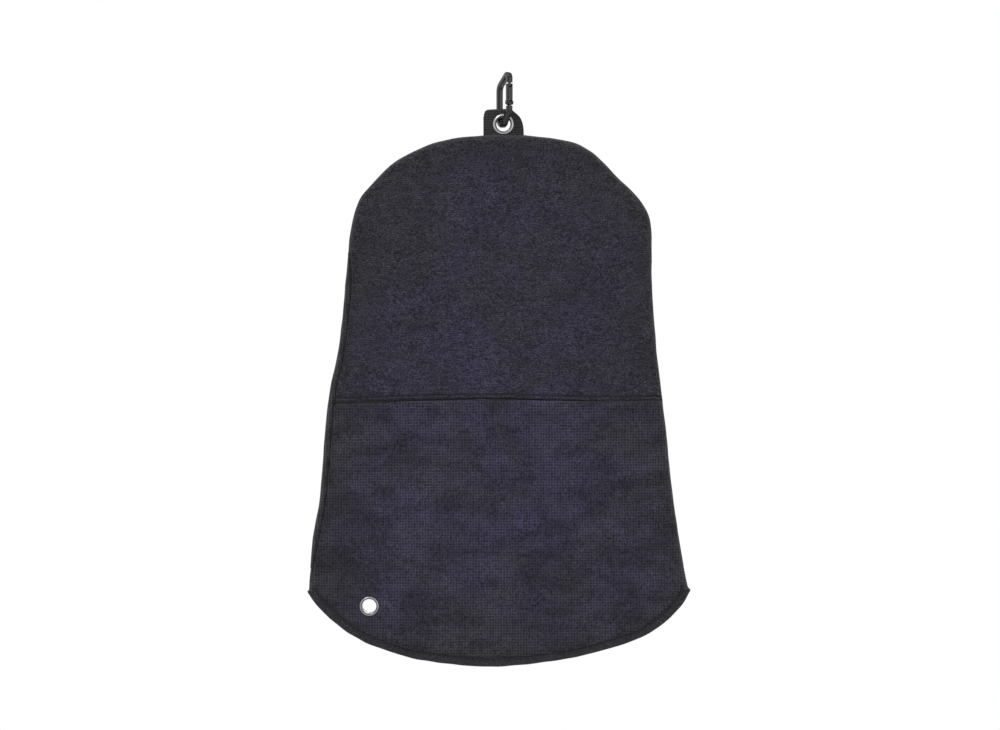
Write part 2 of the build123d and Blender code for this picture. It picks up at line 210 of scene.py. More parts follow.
for lamp_name, place, size, power in LAMPS:
    lamp_data = bpy.data.lights.new(lamp_name, "AREA")
    lamp_data.energy = power
    lamp_data.size = size
    lamp = bpy.data.objects.new(lamp_name, lamp_data)
    bpy.context.scene.collection.objects.link(lamp)
    lamp.location = middle + Vector(place)
    lamp.rotation_euler = (-Vector(place)).to_track_quat("-Z", "Y").to_euler()

bpy.ops.mesh.primitive_circle_add(
    vertices=96,
    radius=FLOOR_RADIUS,
    fill_type="NGON",
    location=(middle.x, 0, object_low.z - FLOOR_DROP),
)
floor = bpy.context.object
floor.name = "floor"
bpy.ops.object.transform_apply(location=True)
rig.stage(floor)


class Value:
    """A socket of a material's node, for use in plain sums and products."""

    def __init__(self, finish, socket):
        self.finish = finish
        self.socket = socket

    def maths(self, operation, *others):
        return self.finish.node("ShaderNodeMath", {"operation": operation}, [self, *others])

    def __add__(self, other):
        return self.maths("ADD", other)

    def __sub__(self, other):
        return self.maths("SUBTRACT", other)

    def __mul__(self, other):
        return self.maths("MULTIPLY", other)

    def __rsub__(self, other):
        return self.finish.node("ShaderNodeMath", {"operation": "SUBTRACT"}, [other, self])

    __radd__ = __add__
    __rmul__ = __mul__


class Finish:
    """A material with one Principled surface, and what is needed to feed its sockets."""

    def __init__(self, name, **uniform):
        self.material = bpy.data.materials.new(name)
        self.material.use_nodes = True
        self.tree = self.material.node_tree
        self.surface = self.tree.nodes["Principled BSDF"]
        for socket_name, amount in uniform.items():
            self.surface.inputs[socket_name.replace("_", " ")].default_value = amount

    def node(self, kind, settings, sockets, output=0):
        new = self.tree.nodes.new(kind)
        for setting, choice in settings.items():
            setattr(new, setting, choice)
        pairs = sockets.items() if isinstance(sockets, dict) else enumerate(sockets)
        for key, value in pairs:
            if isinstance(value, Value):
                self.tree.links.new(value.socket, new.inputs[key])
            else:
                new.inputs[key].default_value = value
        return Value(self, new.outputs[output])

    def place(self, stretch=(1, 1, 1)):
        where = self.node("ShaderNodeTexCoord", {}, {}, "Object")
        return self.node("ShaderNodeMapping", {}, {"Vector": where, "Scale": stretch})

    def axes(self):
        """The place's distances to the right and up."""
        where = self.place()
        return [self.node("ShaderNodeSeparateXYZ", {}, [where], axis) for axis in ("X", "Z")]

    def noise(self, size, detail=2.0, stretch=(1, 1, 1), warp=0.0):
        sockets = {"Scale": 1 / size, "Detail": detail, "Distortion": warp}
        sockets["Vector"] = self.place(stretch)
        return self.node("ShaderNodeTexNoise", {}, sockets, "Fac")

    def ramp(self, value, low, high, to_low=0.0, to_high=1.0):
        sockets = {"Value": value, "From Min": low, "From Max": high}
        sockets.update({"To Min": to_low, "To Max": to_high})
        return self.node("ShaderNodeMapRange", {"clamp": True}, sockets)

    def blend(self, share, first, second):
        settings = {"data_type": "RGBA", "clamp_factor": True}
        return self.node("ShaderNodeMix", settings, {0: share, 6: first, 7: second}, 2)

    def brighten(self, colour, amount):
        """A colour times an amount, the same for red, green and blue."""
        settings = {"operation": "SCALE"}
        return self.node("ShaderNodeVectorMath", settings, {"Vector": colour, "Scale": amount})

    def attribute(self, name):
        return self.node("ShaderNodeAttribute", {"attribute_name": name}, {}, "Fac")

    def feed_bump(self, height, depth, strength=1.0):
        sockets = {"Height": height, "Distance": depth, "Strength": strength}
        self.feed("Normal", self.node("ShaderNodeBump", {}, sockets))

    def feed(self, socket_name, value):
        self.tree.links.new(value.socket, self.surface.inputs[socket_name])


FLOOR_SHADES = [(0.80, 0.80, 0.80, 1), (0.84, 0.84, 0.84, 1)]
floor_finish = Finish("studio_floor", Roughness=0.9)
floor_finish.feed("Base Color", floor_finish.blend(floor_finish.noise(0.3), *FLOOR_SHADES))
floor.data.materials.append(floor_finish.material)

# ---------------------------------------------------------------- front upper panel
# Brushed plush microfibre over the back of the hand, from the dome to the seam across
# the middle. It is sewn to the back round its sides and dome and turned right side out,
# so it rolls over there, and a line of topstitching holds the seam allowance under it.

# The outline of front and back, clockwise from the lower left corner to the lower
# right one. Points are shares of the towel's width, from the left, and of its height.
OUTLINE = [
    (0.000, 0.137), (0.009, 0.237), (0.028, 0.320), (0.050, 0.500),
    (0.080, 0.612), (0.101, 0.763), (0.109, 0.820), (0.131, 0.878), (0.168, 0.9115),
    (0.213, 0.9445), (0.277, 0.972), (0.360, 0.9930), (0.470, 1.0020), (0.560, 1.0020),
    (0.675, 0.992), (0.738, 0.974), (0.772, 0.9526), (0.813, 0.922),
    (0.851, 0.896), (0.890, 0.858), (0.902, 0.815), (0.903, 0.720), (0.913, 0.612),
    (0.937, 0.463), (0.960, 0.311), (0.986, 0.190), (1.000, 0.140),
]
LEFT_SHOULDER = (0.168, 0.9115)
RIGHT_SHOULDER = (0.813, 0.922)
MOUTH = [
    (0.000, 0.137), (0.028, 0.1100), (0.101, 0.0650), (0.187, 0.0345), (0.304, 0.0115),
    (0.475, 0.000), (0.645, 0.0110), (0.790, 0.0340), (0.898, 0.0640), (0.974, 0.1100),
    (1.000, 0.140),
]
SEAM_DIPS = [(0.0, -0.0037), (0.06, -0.0024), (0.45, 0.0), (0.8, -0.0017), (1.0, -0.0010)]

CLOTH = 0.0018  # thickness
OUTER_FACE = 0.0045  # from the towel's middle to its faces where it lies flat
EDGE_ROLL = 0.0042  # how far in from the edge the roll reaches
SIDE_EASE = 0.002  # the same for the folds that run out at the sides
SWELL = 0.0012  # fullness of the middle
SWELL_REACH = 0.028  # how far in from the edge it builds up
SOFT_WAVES = 13  # to the metre
SOFT_WAVE_SHARE = 1.1  # of the fullness
RIPPLE = 0.0014  # slanting ripples
TUFTING = 0.00014  # unevenness from tuft to tuft
TUFTS = 170  # to the metre
WANDER = 0.0003  # how far a cut edge strays
WANDERS = 95  # to the metre
ROLLED_BAND = 0.0046  # strip of the back that shows at the left of the front
BAND_TOP = (0.71, 0.81)  # shares of the height between which the strip ends at its top
BAND_FOOT = (0.15, 0.26)  # and between which it narrows at its foot
BAND_FOOT_SHARE = 0.18  # of its width there
BAND_SHOWS = 0.003  # width from which the fold beside the strip has its full depth
SEAM_INSET = 0.0006  # how far the seam lies inside the outline elsewhere
GROOVE = 0.0021  # depth of the folds where two pieces meet
SEAM_ROLL = 0.0013
TOPSTITCH_RISE = 0.0027
TOPSTITCH_DENT = 0.0008  # its depth, and half its width
PUCKER = 0.0010  # height of the puckers at the right end of the seam
PUCKER_REACH = (0.007, 0.009)  # from the side and from the seam
PUCKER_WAVE = 0.0006
PUCKER_SLANT = 0.6
PINCHED_CORNER = 0.005
PINCHED_SHARE = 0.05  # of the cloth's thickness
TAB_WAY_OUT = 0.0016  # half the opening in the dome's seam for the tab
TAB_WAY_EASE = 0.004  # over which the opening closes at the tab's sides
DOME_REGION = 0.02  # the opening is only this near to the top of the dome

CHARCOAL = (0.0224, 0.0207, 0.0322, 1)
INDIGO = (0.0250, 0.0212, 0.0450, 1)
# painted shade: the cloth is painted darker and greyer towards its sides, dome and mouth
EDGE_SHADE_GREY = (0.0176, 0.0173, 0.0204, 1)
EDGE_SHADE_FADE = 0.030  # distance over which the colour turns darker and greyer towards the edges, as painted shade
EDGE_SHADE_TINT = 0.9
# painted shade in the folds where pieces meet and along the topstitching
CREASE_SHADE_DARKNESS = 0.80
SEAM_LINE = 0.0008  # widths of the painted shade lines
GROOVE_LINE = 0.0009
HEM_LINE = 0.0011
TOPSTITCH_LINE = 0.0006
BLOTCH = 0.055  # sizes of the mottling, from coarse to fine
NAP_PATCH = 0.022
SPECK = 0.0008
PILE_HEIGHT = 0.0009
ROW_PITCH = 0.0014
ROW_DRIFT = 0.0030
TUFT = 0.0010

hem_low, hem_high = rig.box("front_hem")
_, dome_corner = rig.box("back_panel")
tab_low, tab_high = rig.box("hanging_tab")
_, lower_panel_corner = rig.box("front_lower_panel")
towel_left, towel_bottom = hem_low.x, hem_low.z
towel_width = hem_high.x - towel_left
towel_height = dome_corner.z - towel_bottom
dome_top = dome_corner.z
seam_z = lower_panel_corner.z


class Line:
    """A smooth curve through points of the XZ plane, read by a share of its length."""

    def __init__(self, points, steps=16):
        before = points[0] * 2 - points[1]
        after = points[-1] * 2 - points[-2]
        knots = [before, *points, after]
        self.points = [points[0]]
        for a, b, c, d in zip(knots, knots[1:], knots[2:], knots[3:]):
            for step in range(1, steps + 1):
                t = step / steps
                curve = (a * 2 - b * 5 + c * 4 - d) * t**2 + (b * 3 - a - c * 3 + d) * t**3
                self.points.append((b * 2 + (c - a) * t + curve) / 2)
        self.along = [0.0]
        for a, b in zip(self.points, self.points[1:]):
            self.along.append(self.along[-1] + (b - a).length)
        self.length = self.along[-1]
        self.tree = kdtree.KDTree(len(self.points))
        for index, point in enumerate(self.points):
            self.tree.insert(point, index)
        self.tree.balance()

    def at(self, share):
        goal = min(max(share, 0.0), 1.0) * self.length
        low, high = 0, len(self.along) - 1
        while high - low > 1:
            half = (low + high) // 2
            if self.along[half] <= goal:
                low = half
            else:
                high = half
        t = (goal - self.along[low]) / (self.along[high] - self.along[low])
        return self.points[low].lerp(self.points[high], t)

    def direction(self, share):
        return (self.at(share + 0.002) - self.at(share - 0.002)).normalized()

    def nearest(self, spot):
        """The distance from a place to the line, and the share where it is nearest."""
        _, index, _ = self.tree.find(spot)
        best = (1.0, 0.0)
        for start in (max(index - 1, 0), min(index, len(self.points) - 2)):
            a, b = self.points[start], self.points[start + 1]
            _, t = geometry.intersect_point_line(spot, a, b)
            t = min(max(t, 0.0), 1.0)
            share = (self.along[start] + t * (b - a).length) / self.length
            best = min(best, ((spot - a.lerp(b, t)).length, share))
        return best

    def distance(self, spot):
        return self.nearest(spot)[0]

    def part(self, start, end):
        """A stretch of the line, as a function of a share from 0 to 1."""
        return lambda t: self.at(start + (end - start) * t)


def on_towel(share):
    return Vector((towel_left + share[0] * towel_width, 0, towel_bottom + share[1] * towel_height))


def smooth(value, low, high):
    """0 below low and 1 above high, with soft ends."""
    t = min(max((value - low) / (high - low), 0.0), 1.0)
    return t * t * (3 - 2 * t)


def rolled(distance, radius):
    """How far cloth that rolls over an edge has come out, from 0 to 1."""
    t = 1 - min(max(distance / radius, 0.0), 1.0)
    return math.sqrt(1 - t * t)


outline = Line([on_towel(share) for share in OUTLINE])
mouth = Line([on_towel(share) for share in MOUTH])
left_shoulder = outline.nearest(on_towel(LEFT_SHOULDER))[1]
right_shoulder = outline.nearest(on_towel(RIGHT_SHOULDER))[1]


def left_share(height):
    """The share of the outline at which its left side reaches a height."""
    low, high = 0.0, left_shoulder
    while high - low > 1e-6:
        half = (low + high) / 2
        low, high = (half, high) if outline.at(half).z < height else (low, half)
    return low


def right_share(height):
    """The share of the outline at which its right side comes down to a height."""
    low, high = right_shoulder, 1.0
    while high - low > 1e-6:
        half = (low + high) / 2
        low, high = (half, high) if outline.at(half).z > height else (low, half)
    return low


seam_left = left_share(seam_z + SEAM_DIPS[0][1])
seam_right = right_share(seam_z + SEAM_DIPS[-1][1])
seam_start, seam_end = outline.at(seam_left), outline.at(seam_right)
seam_run = seam_end.x - seam_start.x
middle_seam = Line(
    [Vector((seam_start.x + t * seam_run, 0, seam_z + dip)) for t, dip in SEAM_DIPS]
)


def band_width(spot):
    """Width of the strip of the back that shows on the front: broad at the left only."""
    if spot.x > middle.x:
        return SEAM_INSET
    share = (spot.z - towel_bottom) / towel_height
    at_foot = BAND_FOOT_SHARE + (1 - BAND_FOOT_SHARE) * smooth(share, *BAND_FOOT)
    broad = (1 - smooth(share, *BAND_TOP)) * at_foot
    return SEAM_INSET + (ROLLED_BAND - SEAM_INSET) * broad


def inside_band(share):
    spot = outline.at(share)
    direction = outline.direction(share)
    return spot + Vector((direction.z, 0, -direction.x)) * band_width(spot)


groove = Line([inside_band(step / 160) for step in range(161)], steps=3)

corner_low, corner_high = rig.box("corner_eyelet")
corner_centre = (corner_low + corner_high) / 2
corner_eyelet_at = Vector((corner_centre.x, 0, corner_centre.z))
EYELET_PINCH = 0.011  # radius in which the eyelet presses the cloth flat


def face_depth(spot):
    """How far both faces are from the towel's middle, before folds and fullness."""
    out = OUTER_FACE * rolled(outline.distance(spot), EDGE_ROLL)
    tab_side = max(tab_low.x - spot.x, spot.x - tab_high.x)
    way_out = TAB_WAY_OUT * (1 - smooth(tab_side, 0.0, TAB_WAY_EASE))
    return max(out, way_out if spot.z > dome_top - DOME_REGION else 0.0)


def swell(spot, side):
    """Fullness and soft waves of a face, pressed flat round the corner eyelet."""
    shift = Vector((0, 0.35 * side, 0))  # gives front and back waves of their own
    full = 1 - math.exp(-outline.distance(spot) / SWELL_REACH)
    slow = noise.noise(spot * SOFT_WAVES + shift)
    # the ripples are longer along one slant than across it
    slant = Vector((spot.x * 30 + spot.z * 26, 4, spot.z * 21 - spot.x * 10))
    ripple = noise.noise(slant + shift)
    tufts = noise.noise(spot * TUFTS + shift)
    pressed = 1 - math.exp(-(((spot - corner_eyelet_at).length / EYELET_PINCH) ** 2))
    out = SWELL * full * (1 + SOFT_WAVE_SHARE * slow) + RIPPLE * ripple * full
    return (out + TUFTING * tufts) * pressed


def wander(spot):
    """A slight unevenness of hand-cut edges, the same for every piece at one place."""
    sideways = noise.noise(spot * WANDERS)
    upwards = noise.noise(spot * WANDERS + Vector((0, 3, 0)))
    return Vector((sideways, 0, upwards)) * WANDER


def fold(spot, line, radius, depth):
    """How deep a face dips where it turns in along a line."""
    return depth * (1 - rolled(line.distance(spot), radius))


def patch(bottom, top, left, right):
    """A surface spanned by four edges, each a function of a share from 0 to 1."""

    def point(u, v):
        across = bottom(u).lerp(top(u), v) + left(v).lerp(right(v), u)
        corners = bottom(0).lerp(bottom(1), u).lerp(top(0).lerp(top(1), u), v)
        return across - corners

    return point


def eased(t):
    """Closer rows at both ends, where the cloth rolls over its edges."""
    return 0.4 * t + 0.6 * (0.5 - 0.5 * math.cos(math.pi * t))


def grid_piece(name, columns, rows, shape, shares=eased):
    """A grid whose points are laid by shape(u, v)."""
    bpy.ops.object.select_all(action="DESELECT")
    bpy.ops.mesh.primitive_grid_add(x_subdivisions=columns, y_subdivisions=rows, size=1)
    piece = bpy.context.object
    piece.name = name
    piece.data.name = name
    for vertex in piece.data.vertices:
        vertex.co = shape(shares(vertex.co.x + 0.5), shares(vertex.co.y + 0.5))
    bpy.ops.object.mode_set(mode="EDIT")
    bpy.ops.mesh.select_all(action="SELECT")
    bpy.ops.mesh.remove_doubles(threshold=0.000002)
    bpy.ops.object.mode_set(mode="OBJECT")
    return piece


def keep_on_mesh(piece, name, measure):
    """Keep a number for each point of the mesh, for the material to read."""
    layer = piece.data.attributes.new(name, "FLOAT", "POINT")
    layer.data.foreach_set("value", [measure(vertex.co) for vertex in piece.data.vertices])


def thicken(piece, thickness, offset=-1.0, thin_at=()):
    """Give a sheet its thickness, on its inner side unless offset says otherwise."""
    wall = piece.modifiers.new("thickness", "SOLIDIFY")
    wall.thickness = thickness
    wall.offset = offset
    if thin_at:
        # pinched thin in sharp corners, so that the wall does not poke out there
        pinch = piece.vertex_groups.new(name="pinch")
        for vertex in piece.data.vertices:
            away = min((flat_spot(vertex.co) - corner).length for corner in thin_at)
            pinch.add([vertex.index], smooth(away, 0, PINCHED_CORNER), "REPLACE")
        wall.vertex_group = pinch.name
        wall.thickness_vertex_group = PINCHED_SHARE
    bpy.ops.object.select_all(action="DESELECT")
    bpy.context.view_layer.objects.active = piece
    piece.select_set(True)
    bpy.ops.object.modifier_apply(modifier=wall.name)
    bpy.ops.object.shade_smooth()


def flat_area(points):
    """Area of a flat piece from the points along its edge."""
    pairs = zip(points, points[1:] + points[:1])
    return abs(sum(a.x * b.z - b.x * a.z for a, b in pairs)) / 2


def fan(bottom, top):
    """A surface ruled from a lower edge to an upper one that starts and ends with it."""
    return lambda u, v: bottom(u).lerp(top(u), v)


def cut(shape):
    """The size and area of the flat piece that a face is cut from."""
    shares = [step / 50 for step in range(50)]
    edge = [shape(t, 0) for t in shares] + [shape(1, t) for t in shares]
    edge += [shape(1 - t, 1) for t in shares] + [shape(0, 1 - t) for t in shares]
    xs, zs = [p.x for p in edge], [p.z for p in edge]
    return {"flat": (max(xs) - min(xs), max(zs) - min(zs)), "area": flat_area(edge)}


groove_left = groove.nearest(seam_start)[1]
groove_right = groove.nearest(seam_end)[1]
seam_share = [middle_seam.nearest(groove.at(share))[1] for share in (groove_left, groove_right)]
upper_shape = fan(middle_seam.part(*seam_share), groove.part(groove_left, groove_right))


def groove_depth(spot):
    return GROOVE * smooth(band_width(spot), SEAM_INSET, BAND_SHOWS)


def upper_depth(spot):
    """Distance of the plush's surface from the towel's middle."""
    out = face_depth(spot) + swell(spot, -1)
    out -= fold(spot, groove, SEAM_ROLL, groove_depth(spot))
    from_seam = middle_seam.distance(spot)
    from_side = outline.distance(spot)
    out -= GROOVE * (1 - rolled(from_seam, SEAM_ROLL)) * rolled(from_side, SIDE_EASE)
    from_row = from_seam - TOPSTITCH_RISE
    out -= TOPSTITCH_DENT * math.exp(-((from_row / TOPSTITCH_DENT) ** 2))
    if spot.x > 0:
        pucker = math.exp(-from_side / PUCKER_REACH[0] - from_seam / PUCKER_REACH[1])
        out += PUCKER * pucker * math.sin((spot.z + PUCKER_SLANT * spot.x) / PUCKER_WAVE)
    return out


def lay_upper(u, v):
    spot = upper_shape(u, v)
    return spot + wander(spot) + Vector((0, -upper_depth(spot), 0))


def flat_spot(point):
    return Vector((point.x, 0, point.z))


def edge_shade_share(point):
    """Painted shade towards the edges: 1 along the sides, dome and mouth, falling to 0 in the middle of the towel."""
    spot = flat_spot(point)
    return math.exp(-min(outline.distance(spot), mouth.distance(spot)) / EDGE_SHADE_FADE)


def crease_shade_share(point):
    """Painted shade in the folds where pieces meet: 1 there, 0 a few millimetres away."""
    spot = flat_spot(point)
    in_hem = 0.9 * math.exp(-hem_line.distance(spot) / HEM_LINE)
    if point.y > 0:
        return in_hem
    in_seam = math.exp(-middle_seam.distance(spot) / SEAM_LINE)
    in_groove = math.exp(-groove.distance(spot) / GROOVE_LINE)
    in_groove *= smooth(band_width(spot), SEAM_INSET, BAND_SHOWS)
    return max(in_seam, in_groove, in_hem)


HEM = 0.0065  # width
HEM_TUCK = 0.0009  # how far the panels reach under their hem


def hem_edge(t):
    direction = mouth.direction(t)
    return mouth.at(t) + Vector((-direction.z, 0, direction.x)) * (HEM - HEM_TUCK)


hem_line = Line([hem_edge(step / 60) for step in range(61)], steps=3)


def plush_crease_shade(point):
    """The same painted shade for the plush, with the shaded line that the topstitching draws down."""
    from_row = abs(middle_seam.distance(flat_spot(point)) - TOPSTITCH_RISE)
    return max(crease_shade_share(point), 0.95 * math.exp(-((from_row / TOPSTITCH_LINE) ** 2)))


front_upper = grid_piece("front_upper_cloth", 200, 175, lay_upper)
keep_on_mesh(front_upper, "edge", edge_shade_share)
keep_on_mesh(front_upper, "crease", plush_crease_shade)
upper_corners = [groove.at(share) for share in (groove_left, groove_right)]
thicken(front_upper, CLOTH, thin_at=upper_corners)


def microfibre(name, pile_of, contrast):
    """Cloth finish: pile_of(finish) is the height of its surface, from 0 to 1."""
    finish = Finish(name, Roughness=0.95, Specular_IOR_Level=0.08)
    finish.surface.inputs["Sheen Weight"].default_value = 0.12
    finish.surface.inputs["Sheen Roughness"].default_value = 0.6
    pile = pile_of(finish)
    patches = finish.ramp(finish.noise(BLOTCH, 3.0, warp=0.8), 0.36, 0.57)
    colour = finish.blend(patches, CHARCOAL, INDIGO)
    # painted shade: the edge attribute turns the colour darker and greyer towards the sides, dome and mouth
    colour = finish.blend(finish.attribute("edge") * EDGE_SHADE_TINT, colour, EDGE_SHADE_GREY)
    nap = finish.ramp(finish.noise(NAP_PATCH, 4.0, warp=0.5), 0.25, 0.75, 0.82, 1.18)
    specks = finish.ramp(finish.noise(SPECK, 1.0), 0.32, 0.68, 0.48, 1.52)
    shade = finish.ramp(pile, 0.15, 0.85, 1 - contrast, 1 + contrast)
    # painted shade: the crease attribute darkens the colour in the folds, at the hems and along the topstitching
    amount = shade * nap * specks * (1 - finish.attribute("crease") * CREASE_SHADE_DARKNESS)
    finish.feed("Base Color", finish.brighten(colour, amount))
    finish.feed_bump(pile, PILE_HEIGHT, 0.9)
    return finish.material


def plush_pile(finish):
    """Short tufts that lie in faint, broken rows."""
    _, up = finish.axes()
    drift = (finish.noise(0.012, 2.0) - 0.5) * ROW_DRIFT
    rows = ((up + drift) * (math.pi / ROW_PITCH)).maths("SINE").maths("ABSOLUTE")
    broken = finish.ramp(finish.noise(0.0035, 2.0, stretch=(0.7, 1, 1.6)), 0.35, 0.65)
    tufts = finish.ramp(finish.noise(TUFT, 3.0, stretch=(0.8, 1, 1.1)), 0.28, 0.72)
    return rows * broken * 0.30 + tufts * 0.70


plush = microfibre("plush_microfibre", plush_pile, 0.85)
front_upper.data.materials.append(plush)
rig.replaces(front_upper, "front_upper_panel", "middle_seam_allowance")
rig.ride(front_upper, "towel")

# ---------------------------------------------------------------- front lower panel
# Waffle microfibre over the fingers. Its top edge is turned under and sewn over the
# upper panel's, so it stands a little proud of the seam, and a corner eyelet is set in
# it at the lower left.
LOWER_SEAM_ROLL = 0.0030
LOWER_PUFF = 0.0011  # fullness of the turned edge just below the seam
PUFF_DROP = 0.0040
PUFF_WIDTH = 0.0034
HEM_ROLL = 0.0018  # reach and depth of the dip where a panel meets its hem
HEM_DIP = 0.0016
CORNER_RISE = 0.0030  # where the panels meet the hem at the sides, above the corners
FOOT_TURN = 0.02  # share of the hem over which a panel's lower edge runs out to the side
EYELET_HOLE = 0.0049
WAFFLE_CELL = 0.00185
WAFFLE_SWAY = (0.0016, 0.0010)  # how far the yarns stray, sideways and upwards

foot_left = left_share(outline.at(0).z + CORNER_RISE)
foot_right = right_share(outline.at(1).z + CORNER_RISE)


def foot(edge, start, end):
    """The lower edge of a panel: along its hem, and out to an edge line at both ends."""

    def point(u):
        spot = hem_line.at(u)
        near_end = min(u, 1 - u) / FOOT_TURN
        side = edge.at(start if u < 0.5 else end)
        return spot if near_end >= 1 else side.lerp(spot, smooth(near_end, 0, 1))

    return point


groove_foot_left = groove.nearest(outline.at(foot_left))[1]
groove_foot_right = groove.nearest(outline.at(foot_right))[1]
lower_shape = patch(
    foot(groove, groove_foot_left, groove_foot_right),
    middle_seam.part(*seam_share),
    groove.part(groove_foot_left, groove_left),
    groove.part(groove_foot_right, groove_right),
)


def lower_depth(spot):
    """Distance of the front waffle cloth's surface from the towel's middle."""
    out = face_depth(spot) + swell(spot, -1)
    out -= fold(spot, groove, SEAM_ROLL, groove_depth(spot))
    out -= fold(spot, hem_line, HEM_ROLL, HEM_DIP)
    from_seam = middle_seam.distance(spot)
    by_side = rolled(outline.distance(spot), SIDE_EASE)
    out -= GROOVE * (1 - rolled(from_seam, LOWER_SEAM_ROLL)) * by_side
    puff = math.exp(-(((from_seam - PUFF_DROP) / PUFF_WIDTH) ** 2))
    return out + LOWER_PUFF * puff * by_side


def lay_lower(u, v):
    spot = lower_shape(u, v)
    return spot + wander(spot) + Vector((0, -lower_depth(spot), 0))


def open_hole(piece, centre):
    """Take away the cloth that an eyelet's barrel goes through."""
    bpy.ops.object.select_all(action="DESELECT")
    bpy.context.view_layer.objects.active = piece
    piece.select_set(True)
    bpy.ops.object.mode_set(mode="EDIT")
    bpy.ops.mesh.select_all(action="DESELECT")
    bpy.ops.object.mode_set(mode="OBJECT")
    for vertex in piece.data.vertices:
        vertex.select = (flat_spot(vertex.co) - centre).length < EYELET_HOLE
    bpy.ops.object.mode_set(mode="EDIT")
    bpy.ops.mesh.delete(type="VERT")
    bpy.ops.object.mode_set(mode="OBJECT")


def waffle_pile(finish):
    """Small square cells of uneven height between raised yarns."""
    wobble = finish.noise(0.007, 2.0) - 0.5
    ridges, cells = [], []
    for axis, sway in zip(finish.axes(), WAFFLE_SWAY):
        swayed = (axis + wobble * sway) * (1 / WAFFLE_CELL)
        ridges.append(1 - (swayed * math.pi).maths("SINE").maths("ABSOLUTE"))
        cells.append(swayed.maths("FLOOR"))
    seeds = finish.node("ShaderNodeCombineXYZ", {}, {"X": cells[0], "Y": cells[1]})
    uneven = finish.node("ShaderNodeTexWhiteNoise", {"noise_dimensions": "2D"}, [seeds])
    lines = ridges[0].maths("MAXIMUM", ridges[1])
    worn = finish.noise(0.010, 2.0, stretch=(0.5, 1, 1))
    emphasis = finish.ramp(worn, 0.35, 0.65, 0.35, 1.0)
    return lines * emphasis * 0.6 + uneven * 0.18 + finish.noise(0.0012, 2.0) * 0.36


front_lower = grid_piece("front_lower_cloth", 200, 165, lay_lower)
keep_on_mesh(front_lower, "edge", edge_shade_share)
keep_on_mesh(front_lower, "crease", crease_shade_share)
open_hole(front_lower, corner_eyelet_at)
thicken(front_lower, CLOTH)
waffle = microfibre("waffle_microfibre", waffle_pile, 0.95)
front_lower.data.materials.append(waffle)
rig.replaces(front_lower, "front_lower_panel")
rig.ride(front_lower, "towel")

# ---------------------------------------------------------------- back panel
# One piece of waffle microfibre. Its left edge is pulled round on to the front, where
# it shows as a smooth stretched band with a groove beside it.
WRAP = 0.10  # share of the grid's rows for the band that lies on the front

back_shape = fan(foot(outline, foot_left, foot_right), outline.part(foot_left, foot_right))


def even(t):
    """The same spacing everywhere."""
    return t


def lay_back(u, v):
    """Rows from the groove out to the edge on the front, then down the back."""
    if v > WRAP:
        spot = back_shape(u, eased(1 - (v - WRAP) / (1 - WRAP)))
        out = face_depth(spot) + swell(spot, 1) - fold(spot, hem_line, HEM_ROLL, HEM_DIP)
        return spot + wander(spot) + Vector((0, out, 0))
    edge = back_shape(u, 1)
    inner = groove.at(groove.nearest(edge)[1])
    spot = inner.lerp(edge, v / WRAP)
    out = face_depth(spot) - fold(spot, groove, SEAM_ROLL, groove_depth(spot))
    return spot + wander(spot) + Vector((0, -out, 0))


back = grid_piece("back_cloth", 240, 170, lay_back, shares=even)
keep_on_mesh(back, "edge", edge_shade_share)
keep_on_mesh(back, "crease", crease_shade_share)
open_hole(back, corner_eyelet_at)
thicken(back, CLOTH)
back.data.materials.append(waffle)
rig.replaces(back, "back_panel")
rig.ride(back, "towel")

# ---------------------------------------------------------------- linings
# Thin coated cloth inside the pocket, one behind the front and one before the back. It
# keeps a wet towel from the hand.
LINING = 0.0003  # thickness
LINING_FACE = 0.0021  # from the towel's middle
LINING_ROLL = 0.010
LINING_CREASE = 0.0002
LINING_SPAN = (0.02, 0.96)  # where it starts across the back's shape, and its width
LINING_RISE = (0.002, 0.98)  # the same upwards
LINING_SHADES = [(0.014, 0.014, 0.017, 1), (0.028, 0.028, 0.033, 1)]

lining_finish = Finish("coated_lining", Roughness=0.55, Specular_IOR_Level=0.35)
lining_weave = lining_finish.noise(0.0004, 2.0) * 0.6 + lining_finish.noise(0.02, 2.0) * 0.4
lining_finish.feed("Base Color", lining_finish.blend(lining_weave, *LINING_SHADES))
lining_finish.feed_bump(lining_weave, 0.0003, 0.6)


def lay_lining(side):
    def lay(u, v):
        across = u if side < 0 else 1 - u
        spot = back_shape(
            LINING_SPAN[0] + LINING_SPAN[1] * across, LINING_RISE[0] + LINING_RISE[1] * v
        )
        out = LINING_FACE * rolled(outline.distance(spot), LINING_ROLL)
        out += LINING_CREASE * noise.noise(spot * 30)
        return spot + Vector((0, side * out, 0))

    return lay


linings = []
for lining_name, side in (("front_lining", -1), ("back_lining", 1)):
    lining = grid_piece(lining_name + "_cloth", 80, 110, lay_lining(side))
    open_hole(lining, corner_eyelet_at)
    thicken(lining, LINING, offset=1.0)
    lining.data.materials.append(lining_finish.material)
    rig.replaces(lining, lining_name)
    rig.ride(lining, "towel")
    linings.append(lining)

# ---------------------------------------------------------------- hems
# The mouth of each side is folded over twice into a narrow, slightly uneven roll that
# runs from corner to corner.
HEM_MIDDLE = 0.0036  # from the towel's middle
HEM_HALF_THICKNESS = 0.0016
HEM_END = 0.0012  # rounding of its two ends
HEM_LUMPS = 0.30  # unevenness, as a share of the thickness
HEM_SWAY = 0.0006
HEM_ROUNDNESS = 0.7  # of the section: 1 is an ellipse and 0 a rectangle
EAR = Vector((0.0010, 0, 0.0026))  # how far out and up the hem's corners stand


def hem_corner(corner, outwards):
    return corner + Vector((outwards * EAR.x, 0, EAR.z))


along_mouth = [on_towel(share) for share in MOUTH]
hem_path = Line([hem_corner(mouth.at(0), -1), *along_mouth, hem_corner(mouth.at(1), 1)])


def rounded(share):
    """One side of a band's section, between a circle's and a square's."""
    return math.copysign(abs(share) ** HEM_ROUNDNESS, share)


